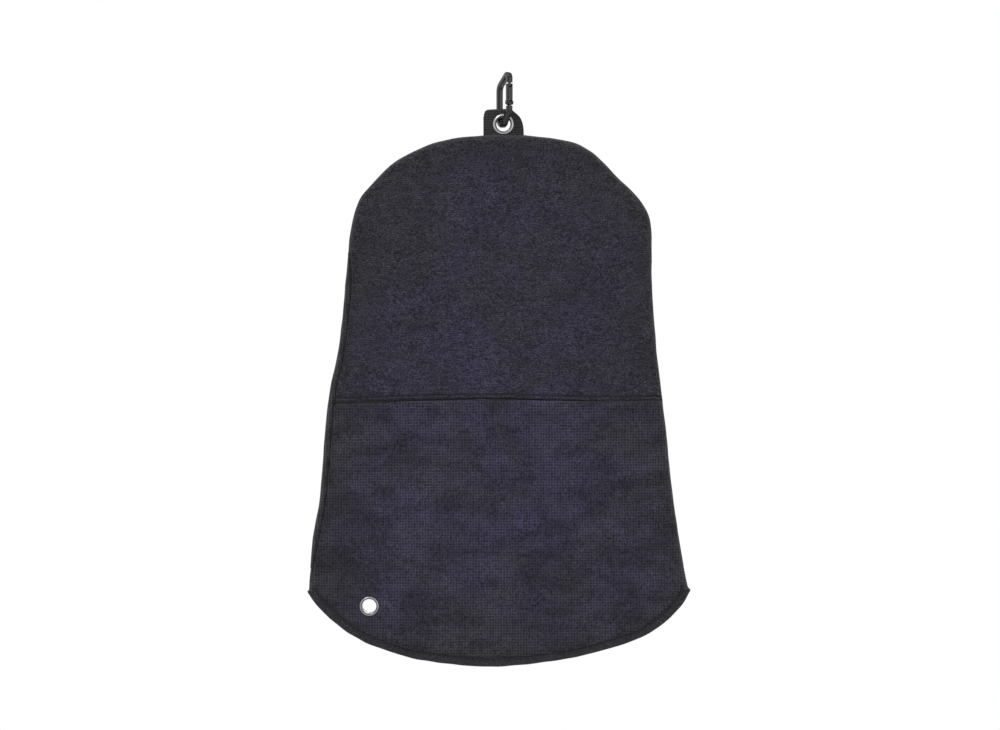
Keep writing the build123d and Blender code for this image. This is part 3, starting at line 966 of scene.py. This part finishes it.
def band_piece(name, line, inset, half_width, middle_y, half_thickness, steps):
    """A soft flat band along a line: u runs along it and v round its section."""

    def lay(u, v):
        direction = line.direction(u)
        inward = Vector((-direction.z, 0, direction.x))
        spot = line.at(u)
        end = rolled(min(u, 1 - u) * line.length, HEM_END)
        lumps = 1 + HEM_LUMPS * noise.noise(spot * 120 + Vector((0, middle_y * 900, 0)))
        sway = HEM_SWAY * noise.noise(spot * 70 + Vector((5, 0, 0)))
        turn = 2 * math.pi * v
        wide = rounded(math.cos(turn))
        thick = rounded(math.sin(turn))
        across = inset + half_width * wide * (0.6 + 0.4 * end) + (sway if wide > 0 else 0)
        depth = middle_y - half_thickness * thick * lumps * end
        return spot + wander(spot) + inward * across + Vector((0, depth, 0))

    piece = grid_piece(name, steps, 20, lay, shares=even)
    bpy.ops.object.mode_set(mode="EDIT")
    bpy.ops.mesh.select_all(action="SELECT")
    bpy.ops.mesh.remove_doubles(threshold=0.00001)
    bpy.ops.mesh.normals_make_consistent(inside=False)
    bpy.ops.object.mode_set(mode="OBJECT")
    bpy.ops.object.shade_smooth()
    return piece


def knit_pile(finish):
    """Fine, close knit of the stretched and folded edges."""
    return finish.noise(0.0008, 2.0) * 0.6 + finish.noise(0.0030, 2.0) * 0.4


hem_cloth = microfibre("hem_microfibre", knit_pile, 0.35)
hems = []
for hem_name, side in (("front_hem", -1), ("back_hem", 1)):
    depth = side * HEM_MIDDLE
    hem_piece_name = hem_name + "_cloth"
    hem = band_piece(
        hem_piece_name, hem_path, HEM / 2, HEM / 2, depth, HEM_HALF_THICKNESS, steps=420
    )
    # the hem takes the painted edge shade all over
    keep_on_mesh(hem, "edge", lambda point: 1.0)
    keep_on_mesh(hem, "crease", crease_shade_share)
    hem.data.materials.append(hem_cloth)
    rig.replaces(hem, hem_name)
    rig.ride(hem, "towel")
    hems.append(hem)

# ---------------------------------------------------------------- edge seam allowance
# The turned-in raw edges of front and back, sewn together round the sides and dome.
# They lie inside the pocket, along its walls.
ALLOWANCE = 0.0070  # width
ALLOWANCE_INSET = 0.0052  # of its middle, inside the outline
ALLOWANCE_HALF_THICKNESS = 0.0012

allowance = band_piece(
    "edge_allowance_cloth",
    outline,
    inset=-ALLOWANCE_INSET,
    half_width=ALLOWANCE / 2,
    middle_y=0.0,
    half_thickness=ALLOWANCE_HALF_THICKNESS,
    steps=500,
)
# the allowance takes the painted edge shade all over
keep_on_mesh(allowance, "edge", lambda point: 1.0)
keep_on_mesh(allowance, "crease", lambda point: 0.0)
allowance.data.materials.append(hem_cloth)
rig.replaces(allowance, "edge_seam_allowance")
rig.ride(allowance, "towel")

# ---------------------------------------------------------------- sewn rows
# Polyester thread: a topstitch over the middle seam, one along each hem and slanting
# overedge stitches inside the pocket. Each stitch sinks in at both ends.
THREAD_SHADES = [(0.010, 0.010, 0.014, 1), (0.032, 0.031, 0.044, 1)]
HEM_STITCH_INSET = 0.0012
HEM_STITCH_STRAY = 0.0003
HEM_STITCH_SHARE = 0.86  # how far out on the hem's rounding the row lies
SLANT = 0.8  # of the overedge stitches
THREAD_LIFT = 0.00006  # of a stitch's middle above the cloth
SEAM_STITCH = (0.0027, 0.00042)  # length and thickness of one stitch
HEM_STITCH = (0.0026, 0.00045)
EDGE_STITCH = (0.0038, 0.0005)
BOX_STITCH = (0.0027, 0.00040)
SEAM_PITCH = 0.0034  # from one stitch to the next
HEM_PITCH = 0.0036
EDGE_PITCH = 0.0045

thread_finish = Finish("sewing_thread", Roughness=0.7, Specular_IOR_Level=0.2)
strand = thread_finish.noise(0.0004, 2.0, stretch=(1, 1, 3))
thread_finish.feed("Base Color", thread_finish.blend(strand, *THREAD_SHADES))
thread_finish.feed_bump(strand, 0.0002, 0.7)


def stitch_row(name, spots, length, thickness, node):
    """One row of stitches, from the place and the direction of each."""
    stitches = []
    for place, direction in spots:
        if not stitches:
            bpy.ops.object.select_all(action="DESELECT")
            bpy.ops.mesh.primitive_uv_sphere_add(segments=8, ring_count=6, radius=0.5)
            bpy.ops.transform.resize(value=(thickness, thickness, length))
            bpy.ops.object.transform_apply(scale=True)
            stitch = bpy.context.object
        else:
            stitch = stitches[0].copy()
            stitch.data = stitches[0].data.copy()
            bpy.context.scene.collection.objects.link(stitch)
        stitch.rotation_euler = direction.to_track_quat("Z", "Y").to_euler()
        stitch.location = place
        stitches.append(stitch)
    bpy.ops.object.select_all(action="DESELECT")
    for stitch in stitches:
        stitch.select_set(True)
    bpy.context.view_layer.objects.active = stitches[0]
    bpy.ops.object.join()
    row = bpy.context.object
    bpy.ops.object.transform_apply(location=True, rotation=True, scale=True)
    bpy.ops.object.shade_smooth()
    row.name = name
    row.data.materials.append(thread_finish.material)
    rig.replaces(row, node)
    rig.ride(row, "towel")
    return row


def evenly(length, pitch, start, end):
    """Shares of a line of this length for stitches one pitch apart."""
    count = int(length * (end - start) / pitch)
    return [start + (end - start) * (number + 0.5) / count for number in range(count)]


def on_front(spot, depth_of):
    return spot + wander(spot) + Vector((0, -depth_of(spot) - THREAD_LIFT, 0))


seam_spots = []
for share in evenly(middle_seam.length, SEAM_PITCH, 0.025, 0.985):
    spot = middle_seam.at(share) + Vector((0, 0, TOPSTITCH_RISE))
    seam_spots.append((on_front(spot, upper_depth), middle_seam.direction(share)))
topstitch = stitch_row("middle_seam_topstitch", seam_spots, *SEAM_STITCH, "middle_topstitch")

hem_rows = []
for row_name, side in (("front_hem_stitch", -1), ("back_hem_stitch", 1)):
    hem_spots = []
    for share in evenly(mouth.length, HEM_PITCH, 0.02, 0.98):
        direction = mouth.direction(share)
        inward = Vector((-direction.z, 0, direction.x))
        stray = HEM_STITCH_STRAY * noise.noise(mouth.at(share) * 90)
        reach = HEM - HEM_STITCH_INSET + stray
        depth = side * (HEM_MIDDLE + HEM_HALF_THICKNESS * HEM_STITCH_SHARE)
        hem_spots.append((mouth.at(share) + inward * reach + Vector((0, depth, 0)), direction))
    hem_rows.append(stitch_row(row_name + "es", hem_spots, *HEM_STITCH, row_name))

edge_spots = []
for share in evenly(outline.length, EDGE_PITCH, 0.02, 0.98):
    direction = outline.direction(share)
    inward = Vector((direction.z, 0, -direction.x))
    slant = (direction + inward * SLANT).normalized()
    edge_spots.append((outline.at(share) + inward * (ALLOWANCE_INSET + ALLOWANCE / 2), slant))
oversewing = stitch_row("edge_oversewing_stitches", edge_spots, *EDGE_STITCH, "edge_oversewing")

# ---------------------------------------------------------------- hanging tab
# A short loop of black webbing, its fold at the top: straight on the left and pulled
# round on the right. Both ends are caught in the dome's seam and boxed down.
PLY = 0.0011
FOLD_SPREAD = 0.00062  # from the tab's middle to the middle of each ply
TAB_DRAW = 0.0070  # how far the right edge is drawn in at the fold
TAB_SPREAD = 0.0005  # how much wider than its seam the tab lies at each side
WEBBING_SHADES = [(0.002, 0.002, 0.002, 1), (0.038, 0.038, 0.040, 1)]
RIB = 0.0022
PICK = 0.0017
FOLD_ROLL = 0.0012
FOLD_SLANT = 0.0006  # how much lower the fold lies at its left end
LEFT_CORNER_DROP = 0.0022
LEFT_CORNER_DRAW = 0.0014
LEFT_CORNER_HEIGHT = 0.0024
RIGHT_CORNER_DRAW = 0.0012
RIGHT_CORNER_HEIGHT = 0.0060
BLEND_ABOVE = 0.0002  # the tab bends between this far above the dome's top
BLEND_BELOW = 0.0080  # and this far below it

eyelet_low, eyelet_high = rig.box("tab_eyelet")
eyelet_centre = (eyelet_low + eyelet_high) / 2
tab_eyelet_at = Vector((eyelet_centre.x, 0, eyelet_centre.z))


def lay_tab(u, v):
    """Up the front ply to the fold and down the back one."""
    climb = 1 - abs(2 * v - 1)
    fold_z = tab_high.z - FOLD_SLANT * (1 - u) - LEFT_CORNER_DROP * math.exp(-u / 0.06)
    height = tab_low.z + (fold_z - tab_low.z) * climb
    free_share = min(max(height - dome_top, 0.0) / (tab_high.z - dome_top), 1.0)
    left = tab_low.x - TAB_SPREAD
    right = tab_high.x + TAB_SPREAD - TAB_DRAW * free_share**3
    x = left + (right - left) * u
    left_corner = smooth(height, fold_z - LEFT_CORNER_HEIGHT, fold_z)
    x += LEFT_CORNER_DRAW * left_corner * math.exp(-u / 0.05)
    right_corner = smooth(height, fold_z - RIGHT_CORNER_HEIGHT, fold_z)
    x -= RIGHT_CORNER_DRAW * right_corner * math.exp(-(1 - u) / 0.15)
    out = FOLD_SPREAD * rolled(fold_z - height, FOLD_ROLL)
    return Vector((x, -out if v < 0.5 else out, height))


def webbing_weave(finish):
    across, up = finish.axes()
    picks = (up * (2 * math.pi / PICK)).maths("SINE") * 0.5 + 0.5
    ribs = (across * (2 * math.pi / RIB)).maths("SINE") * 0.5 + 0.5
    frayed = finish.ramp(finish.noise(0.0012, 3.0), 0.30, 0.70)
    return picks * 0.40 + ribs * 0.15 + frayed * 0.45


tab = grid_piece("webbing_tab", 44, 120, lay_tab, shares=even)
open_hole(tab, tab_eyelet_at)
thicken(tab, PLY, offset=0.2)
webbing = Finish("black_webbing", Roughness=0.8, Specular_IOR_Level=0.15)
webbing.surface.inputs["Sheen Weight"].default_value = 0.06
weave = webbing_weave(webbing)
webbing.feed("Base Color", webbing.blend(weave, *WEBBING_SHADES))
webbing.feed_bump(weave, 0.0005, 0.9)
tab.data.materials.append(webbing.material)
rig.replaces(tab, "hanging_tab")
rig.blend(tab, "tab", "towel", (0, 0, dome_top + BLEND_ABOVE), (0, 0, dome_top - BLEND_BELOW))

BOX_TOP, BOX_BOTTOM = 0.0045, 0.0120  # below the top of the dome
BOX_SIDE = 0.0118  # from the tab's middle
BOX_SIDE_DROPS = (0.0063, 0.0102)
BOX_STITCHES = 6  # in the top and bottom rows
BOX_PITCH = 0.0038

box_spots = []
for drop in (BOX_TOP, BOX_BOTTOM):
    for number in range(BOX_STITCHES):
        from_middle = BOX_PITCH * (number - (BOX_STITCHES - 1) / 2)
        spot = Vector((tab_eyelet_at.x + from_middle, 0, dome_top - drop))
        box_spots.append((on_front(spot, upper_depth), Vector((1, 0, 0))))
for side in (-1, 1):
    for drop in BOX_SIDE_DROPS:
        spot = Vector((tab_eyelet_at.x + side * BOX_SIDE, 0, dome_top - drop))
        box_spots.append((on_front(spot, upper_depth), Vector((0, 0, 1))))
box_row = stitch_row("tab_box_stitches", box_spots, *BOX_STITCH, "tab_box_stitch")

# ---------------------------------------------------------------- eyelets
# Two nickel-plated brass eyelets. A domed flange with a barrel is pushed through from
# the front, and the barrel's end is rolled over a washer at the back.
BARREL = 0.0046  # inner radius
BARREL_WALL = 0.00045
TAB_FLANGE = 0.0072  # outer radii of the flanges
CORNER_FLANGE = 0.0067
WASHER_SETBACK = 0.0010  # how much smaller the washer is than the flange
FLANGE_LIFT = 0.0011
GROOVE_AT = 0.0007  # the painted shade ring, outside the barrel's inner radius
WASHER_GROOVE_AT = 0.0012
GROOVE_WIDTH = 0.00035
EYELET_SLACK = 0.0001  # between the flanges and the cloth
NICKEL_SHADES = [(0.30, 0.30, 0.31, 1), (0.46, 0.46, 0.47, 1)]
# painted shade in the curl of each eyelet's lip and washer
GROOVE_SHADE = (0.035, 0.035, 0.038, 1)

nickel = Finish("nickel_plate", Metallic=1.0)
smears = nickel.noise(0.004, 4.0, warp=1.0)
plate = nickel.blend(smears, *NICKEL_SHADES)
# painted shade: the groove attribute darkens the plate in a ring
nickel.feed("Base Color", nickel.blend(nickel.attribute("groove"), plate, GROOVE_SHADE))
nickel.feed("Roughness", nickel.ramp(smears, 0.0, 1.0, 0.18, 0.38))
nickel.feed_bump(nickel.noise(0.0006, 2.0), 0.00008, 0.5)


def turned_ring(name, centre, profile, groove_radius, body, node):
    """A ring turned from a closed profile of (radius, distance in front) points."""
    bpy.ops.object.select_all(action="DESELECT")
    bpy.ops.mesh.primitive_circle_add(vertices=len(profile), radius=0.01)
    ring = bpy.context.object
    for vertex, (radius, front) in zip(ring.data.vertices, profile):
        vertex.co = centre + Vector((radius, -front, 0))
    bpy.ops.object.mode_set(mode="EDIT")
    bpy.ops.mesh.select_all(action="SELECT")
    bpy.ops.mesh.spin(steps=72, angle=2 * math.pi, center=centre, axis=(0, 1, 0))
    bpy.ops.mesh.select_all(action="SELECT")
    bpy.ops.mesh.remove_doubles(threshold=0.000005)
    bpy.ops.mesh.normals_make_consistent(inside=False)
    bpy.ops.object.mode_set(mode="OBJECT")
    rounding = ring.modifiers.new("rounding", "SUBSURF")
    rounding.levels = rounding.render_levels = 1
    bpy.ops.object.modifier_apply(modifier=rounding.name)
    bpy.ops.object.shade_smooth()

    # where the ring of painted shade lies, kept as the groove attribute
    def in_groove(point):
        off = (flat_spot(point) - centre).length - groove_radius
        return math.exp(-((off / GROOVE_WIDTH) ** 2))

    keep_on_mesh(ring, "groove", in_groove)
    ring.name = name
    ring.data.materials.append(nickel.material)
    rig.replaces(ring, node)
    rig.ride(ring, body)


def set_eyelet(node, centre, grip, flange_radius, body):
    """Flange and barrel, and the washer behind, for cloth of half thickness grip."""
    outer = BARREL + BARREL_WALL
    crown = (flange_radius + outer) / 2
    flange = [
        (BARREL, -grip - 0.0007), (BARREL, grip), (BARREL + 0.0001, grip + 0.6 * FLANGE_LIFT),
        (BARREL + 0.0006, grip + FLANGE_LIFT), (crown, grip + 1.05 * FLANGE_LIFT),
        (flange_radius - 0.0005, grip + 0.7 * FLANGE_LIFT), (flange_radius, grip + 0.0001),
        (flange_radius - 0.0003, grip - 0.0001), (crown, grip + 0.4 * FLANGE_LIFT),
        (outer + 0.0003, grip + 0.3 * FLANGE_LIFT), (outer, grip - 0.0005),
        (outer, -grip - 0.0003), (outer + 0.0007, -grip - 0.0009),
        (outer + 0.0006, -grip - 0.0013), (BARREL + 0.0003, -grip - 0.0012),
    ]
    turned_ring(node + "_flange", centre, flange, BARREL + GROOVE_AT, body, node)
    rim = flange_radius - WASHER_SETBACK
    washer = [
        (outer + 0.0001, -grip), (rim, -grip), (rim, -grip - 0.0004),
        (rim - 0.0006, -grip - 0.0008), (BARREL + 0.0012, -grip - 0.0007),
        (outer + 0.0001, -grip - 0.0003),
    ]
    washer_groove = BARREL + WASHER_GROOVE_AT
    turned_ring(node + "_back_ring", centre, washer, washer_groove, body, node + "_washer")


tab_grip = PLY + EYELET_SLACK
corner_grip = OUTER_FACE + EYELET_SLACK
set_eyelet("tab_eyelet", tab_eyelet_at, tab_grip, TAB_FLANGE, "tab")
set_eyelet("corner_eyelet", corner_eyelet_at, corner_grip, CORNER_FLANGE, "towel")

# ---------------------------------------------------------------- carabiner
# A cast aluminium loop with a gate on a rivet, all black anodised, and a steel spring
# and plunger inside the gate. The finish is rubbed a little brighter here and there.
ANODISED_SHADES = [(0.002, 0.002, 0.003, 1), (0.010, 0.010, 0.011, 1)]
STEEL_SHADES = [(0.25, 0.25, 0.26, 1), (0.40, 0.40, 0.41, 1)]


def metal(name, shades, roughness, **uniform):
    finish = Finish(name, **uniform)
    rubbed = finish.ramp(finish.noise(0.003, 3.0, warp=0.6), 0.35, 0.75)
    finish.feed("Base Color", finish.blend(rubbed, *shades))
    finish.feed("Roughness", rubbed * 0.12 + roughness)
    finish.feed_bump(finish.noise(0.0005, 2.0), 0.00005, 0.5)
    return finish.material


anodised = metal("black_anodised", ANODISED_SHADES, 0.14, Specular_IOR_Level=0.40)
spring_steel = metal("spring_steel", STEEL_SHADES, 0.30, Metallic=1.0)
for node_name, material in (
    ("carabiner_frame", anodised),
    ("gate", anodised),
    ("gate_rivet", anodised),
    ("gate_plunger", spring_steel),
    ("gate_spring", spring_steel),
):
    mesh = frame["nodes"][node_name].data
    mesh.materials.clear()
    mesh.materials.append(material)

# ---------------------------------------------------------------- what hangs as cloth
# Every panel, lining and the tab was cut flat; the sewn rows and hems go with them.
BAND_LENGTH_SHARE = 0.6  # of the towel's height, for the strip of the back on the front
TAB_AREA_SHARE = 0.93  # of its box, less its cut corners and the eyelet's hole

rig.sheet(
    front_upper,
    held="hung",
    rests_on=["hanging_tab"],
    with_pieces=[topstitch, box_row],
    **cut(upper_shape),
)
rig.sheet(
    front_lower,
    held="hung",
    rests_on=[front_upper],
    with_pieces=[hems[0], hem_rows[0]],
    **cut(lower_shape),
)
back_cut = cut(back_shape)
band_area = ROLLED_BAND * towel_height * BAND_LENGTH_SHARE
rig.sheet(
    back,
    flat=(back_cut["flat"][0] + ROLLED_BAND, back_cut["flat"][1]),
    held="hung",
    rests_on=["hanging_tab"],
    area=back_cut["area"] + band_area,
    with_pieces=[hems[1], hem_rows[1], allowance, oversewing],
)
for lining in linings:
    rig.sheet(lining, held="hung", rests_on=[front_upper], **cut(back_shape))
tab_length = 2 * (tab_high.z - tab_low.z)
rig.sheet(
    tab,
    flat=(tab_high.x - tab_low.x, tab_length),
    held="folded",
    rests_on=["carabiner_frame"],
    area=TAB_AREA_SHARE * (tab_high.x - tab_low.x) * tab_length,
)

with open("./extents.json", "w") as size_file:
    json.dump(
        {"cad": [list(corner) for corner in cad_box], "visual": [list(corner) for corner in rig.bounds()]},
        size_file,
    )
